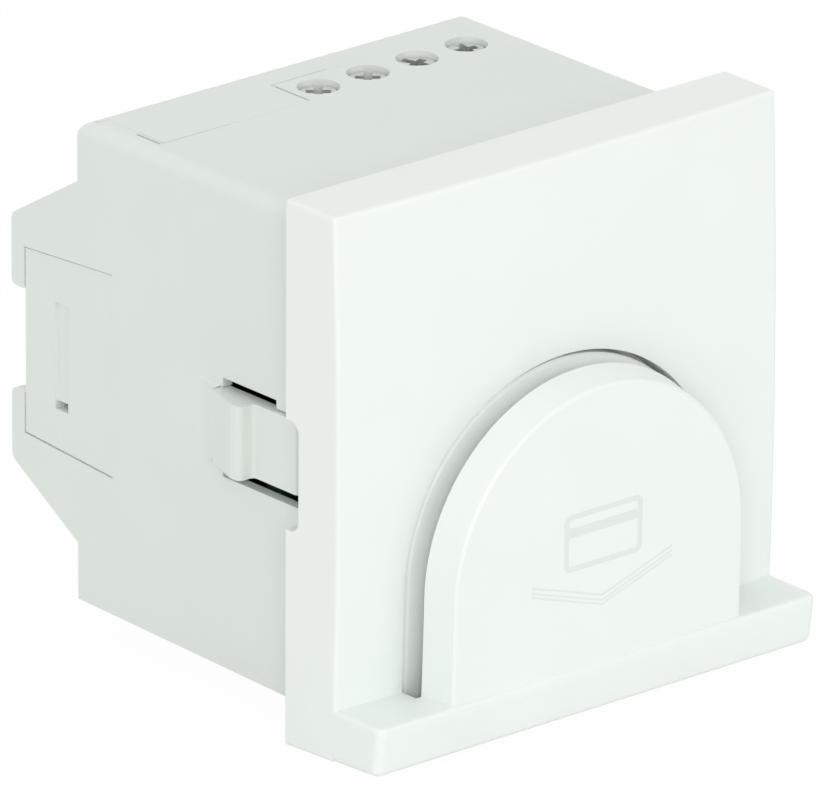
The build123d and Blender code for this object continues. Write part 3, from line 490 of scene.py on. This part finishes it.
def foot_skin(shape, side):
    """A thin skin over the fixed foot of one ramp that fades into the wall around it."""
    reach = FOOT_SKIN_END_Y - FOOT_SKIN_START_Y
    ys = [FOOT_SKIN_START_Y + reach * i / FOOT_ROWS for i in range(FOOT_ROWS + 1)]
    inner = [FOOT_HALF_HEIGHT * i / FOOT_INNER_STEPS
             for i in range(-FOOT_INNER_STEPS, FOOT_INNER_STEPS + 1)]
    lower = [-FOOT_HALF_HEIGHT - FOOT_LOWER_FADE * i / FOOT_LOWER_STEPS
             for i in range(FOOT_LOWER_STEPS, 0, -1)]
    upper = [FOOT_HALF_HEIGHT + FOOT_UPPER_FADE * i / FOOT_UPPER_STEPS
             for i in range(1, FOOT_UPPER_STEPS + 1)]
    zs = lower + inner + upper

    def height(y, z):
        full = foot_height(y)
        over = abs(z) - FOOT_HALF_HEIGHT
        if over <= 0:
            return full
        rise = 1 - ease((y - FOOT_SKIN_START_Y) / FOOT_RISE_LENGTH)
        return full * rise * ease(over / (FOOT_LOWER_FADE if z < 0 else FOOT_UPPER_FADE))

    def grid(drop):
        rows = []
        for y in ys:
            rows.append([])
            for z in zs:
                edge = y == ys[-1] or z in (zs[0], zs[-1])
                lift = height(y, z) - drop - (SKIN_LIFT if edge else 0)
                rows[-1].append(shape.verts.new((side * (CASE_HALF_WIDTH + lift), y, z)))
        return rows

    top = grid(0)
    low = grid(SKIN_THICKNESS)
    for rows in (top, low):
        for first, second in zip(rows, rows[1:]):
            for i in range(len(zs) - 1):
                shape.faces.new((first[i], first[i + 1], second[i + 1], second[i]))
    join_loops(shape, rim_of(top), rim_of(low))


def add_foot_skins():
    skin = moulded_plastic("foot_plastic", LATCH_COLOUR, 0.45)
    for name, side in (("latch_foot_skin_left", -1), ("latch_foot_skin_right", 1)):
        piece = add_piece(name, lambda shape: foot_skin(shape, side), skin, "case")
        for face in piece.data.polygons:
            face.use_smooth = True


def add_shields():
    """Thin inner walls behind the notches of the skirt, so that nobody sees through the case there."""
    plastic = moulded_plastic("shield_plastic", CASE_COLOUR, 0.5)
    outer_x = SHIELD_X + SHIELD_THICKNESS
    plan = (
        (SHIELD_X, SHIELD_FRONT_Y),
        (outer_x, SHIELD_FRONT_Y),
        (outer_x, SHIELD_REAR_Y),
        (SHIELD_X, SHIELD_REAR_Y),
    )

    def wall(shape, side):
        low = [shape.verts.new((side * x, y, SHIELD_LOW_Z)) for x, y in plan]
        high = [shape.verts.new((side * x, y, SHIELD_HIGH_Z)) for x, y in plan]
        close_between(shape, low, high)

    for name, side in (("notch_shield_left", -1), ("notch_shield_right", 1)):
        add_piece(name, lambda shape: wall(shape, side), plastic, "case")


def add_return_spring():
    """The paddle's spring, copied from its CAD node, which is then hidden."""
    mesh = frame["nodes"]["paddle_spring"].data.copy()
    spring = bpy.data.objects.new("return_spring", mesh)
    bpy.context.scene.collection.objects.link(spring)
    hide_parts("paddle_spring")
    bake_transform(spring)


def edge_section(y):
    """The section of the case's top right edge at one depth, in X and Z."""
    top = CASE_TOP_Z + SEAM_HEIGHT
    if y > REAR_ROUND_Y:
        drop = REAR_ROUND - math.sqrt(max(REAR_ROUND ** 2 - (y - REAR_ROUND_Y) ** 2, 0))
        top -= drop
    share = (y - EDGE_FRONT_Y) / (EDGE_REAR_Y - EDGE_FRONT_Y)
    wide = EDGE_FRONT_X + (EDGE_REAR_X - EDGE_FRONT_X) * share
    turn = y - (EDGE_REAR_Y - EDGE_PLAN_RADIUS)
    if turn > 0:
        wide -= EDGE_PLAN_RADIUS - math.sqrt(max(EDGE_PLAN_RADIUS ** 2 - turn ** 2, 0))
    points = [(EDGE_INNER_X, top)]
    for step in range(EDGE_ARC_STEPS + 1):
        angle = math.pi / 2 * (1 - step / EDGE_ARC_STEPS)
        points.append((wide - EDGE_RADIUS + EDGE_RADIUS * math.cos(angle),
                       top - EDGE_RADIUS + EDGE_RADIUS * math.sin(angle)))
    foot = min(EDGE_FOOT_X, wide - SKIN_LIFT)
    return points + [(foot, EDGE_FOOT_Z), (EDGE_INNER_X, EDGE_FOOT_Z)]


def add_right_edge():
    """The case's top right edge, sharper than the left one."""
    straight = REAR_ROUND_Y - EDGE_FRONT_Y
    rounded = EDGE_REAR_Y - REAR_ROUND_Y
    ys = [EDGE_FRONT_Y + straight * i / EDGE_FRONT_STEPS for i in range(EDGE_FRONT_STEPS + 1)]
    ys += [REAR_ROUND_Y + rounded * i / EDGE_REAR_STEPS for i in range(1, EDGE_REAR_STEPS + 1)]

    def loft(shape):
        rings = [[shape.verts.new((x, y, z)) for x, z in edge_section(y)] for y in ys]
        shape.faces.new(rings[0])
        shape.faces.new(rings[-1])
        for first, second in zip(rings, rings[1:]):
            join_loops(shape, first, second)

    edge = moulded_plastic("edge_plastic", CASE_COLOUR, 0.5)
    add_piece("case_right_edge", loft, edge, "case")


def add_floor():
    """A pale floor under the lowest point; the eye sees it nearly white, with the soft shadow kept."""
    low = cad_box[0]
    mesh = bpy.data.meshes.new("floor")
    shape = bmesh.new()
    for x, y in ((-1, -1), (1, -1), (1, 1), (-1, 1)):
        shape.verts.new((x * FLOOR_HALF, y * FLOOR_HALF, low[2]))
    shape.faces.new(shape.verts)
    shape.to_mesh(mesh)
    shape.free()
    floor = bpy.data.objects.new("floor", mesh)
    bpy.context.scene.collection.objects.link(floor)
    material = bpy.data.materials.new("floor_paint")
    material.use_nodes = True
    tree = material.node_tree
    tree.nodes.clear()
    output = tree.nodes.new("ShaderNodeOutputMaterial")
    paint = tree.nodes.new("ShaderNodeBsdfDiffuse")
    paint.inputs["Color"].default_value = (*FLOOR_COLOUR, 1)
    white = tree.nodes.new("ShaderNodeEmission")
    rays = tree.nodes.new("ShaderNodeLightPath")
    seen = tree.nodes.new("ShaderNodeMath")
    seen.operation = "MAXIMUM"
    share = tree.nodes.new("ShaderNodeMath")
    share.operation = "MULTIPLY"
    share.inputs[1].default_value = FLOOR_WHITE_SHARE
    mix = tree.nodes.new("ShaderNodeMixShader")
    tree.links.new(rays.outputs["Is Camera Ray"], seen.inputs[0])
    tree.links.new(rays.outputs["Is Glossy Ray"], seen.inputs[1])
    tree.links.new(seen.outputs["Value"], share.inputs[0])
    tree.links.new(share.outputs["Value"], mix.inputs["Fac"])
    tree.links.new(paint.outputs["BSDF"], mix.inputs[1])
    tree.links.new(white.outputs["Emission"], mix.inputs[2])
    tree.links.new(mix.outputs["Shader"], output.inputs["Surface"])
    mesh.materials.append(material)


def add_world():
    """An even sky that lights softly; the eye, gloss and glass see plain white."""
    world = bpy.data.worlds.new("studio")
    bpy.context.scene.world = world
    world.use_nodes = True
    tree = world.node_tree
    tree.nodes.clear()
    output = tree.nodes.new("ShaderNodeOutputWorld")
    sky = tree.nodes.new("ShaderNodeBackground")
    set_inputs(sky, {"Color": (1, 1, 1, 1), "Strength": SKY_LEVEL})
    white = tree.nodes.new("ShaderNodeBackground")
    set_inputs(white, {"Color": (1, 1, 1, 1), "Strength": 1.0})
    rays = tree.nodes.new("ShaderNodeLightPath")
    first = tree.nodes.new("ShaderNodeMath")
    first.operation = "MAXIMUM"
    second = tree.nodes.new("ShaderNodeMath")
    second.operation = "MAXIMUM"
    mix = tree.nodes.new("ShaderNodeMixShader")
    tree.links.new(rays.outputs["Is Camera Ray"], first.inputs[0])
    tree.links.new(rays.outputs["Is Glossy Ray"], first.inputs[1])
    tree.links.new(first.outputs["Value"], second.inputs[0])
    tree.links.new(rays.outputs["Is Transmission Ray"], second.inputs[1])
    tree.links.new(second.outputs["Value"], mix.inputs["Fac"])
    tree.links.new(sky.outputs["Background"], mix.inputs[1])
    tree.links.new(white.outputs["Background"], mix.inputs[2])
    tree.links.new(mix.outputs["Shader"], output.inputs["Surface"])


def add_lamp(name, direction, power, size):
    """A large soft lamp at the usual distance in the given direction, facing the part."""
    data = bpy.data.lights.new(name, "AREA")
    data.shape = "SQUARE"
    data.size = size
    data.energy = power
    lamp = bpy.data.objects.new(name, data)
    way = Vector(direction).normalized()
    lamp.location = way * LAMP_DISTANCE
    lamp.rotation_euler = way.to_track_quat("Z", "Y").to_euler()
    bpy.context.scene.collection.objects.link(lamp)


def add_camera():
    azimuth = math.radians(CAMERA_AZIMUTH)
    elevation = math.radians(CAMERA_ELEVATION)
    roll = math.radians(CAMERA_ROLL)
    level = Vector((math.cos(azimuth), -math.sin(azimuth), 0))
    back = Vector((-math.sin(azimuth) * math.cos(elevation),
                   -math.cos(azimuth) * math.cos(elevation), math.sin(elevation)))
    upright = back.cross(level)
    right = level * math.cos(roll) + upright * math.sin(roll)
    up = upright * math.cos(roll) - level * math.sin(roll)
    aim = Vector((0, CAMERA_AIM_Y, 0))
    place = aim + back * CAMERA_DISTANCE - right * CAMERA_SHIFT_RIGHT - up * CAMERA_SHIFT_UP
    data = bpy.data.cameras.new("camera")
    data.sensor_width = SENSOR_MM
    data.lens = CAMERA_LENS_MM
    camera = bpy.data.objects.new("camera", data)
    camera.matrix_world = Matrix((
        (right.x, up.x, back.x, place.x),
        (right.y, up.y, back.y, place.y),
        (right.z, up.z, back.z, place.z),
        (0, 0, 0, 1),
    ))
    bpy.context.scene.collection.objects.link(camera)
    bpy.context.scene.camera = camera


dress_nodes(make_materials())
add_marks()
add_top_seams()
add_foot_skins()
add_right_edge()
add_shields()
add_return_spring()
add_floor()
add_world()
add_lamp("near_lamp", NEAR_LAMP_WAY, NEAR_LAMP_POWER, NEAR_LAMP_SIZE)
add_lamp("front_lamp", FRONT_LAMP_WAY, FRONT_LAMP_POWER, LAMP_SIZE)
add_lamp("left_lamp", LEFT_LAMP_WAY, LEFT_LAMP_POWER, LAMP_SIZE)
add_lamp("top_lamp", TOP_LAMP_WAY, TOP_LAMP_POWER, LAMP_SIZE)
add_camera()
bpy.context.scene.view_settings.view_transform = "Standard"
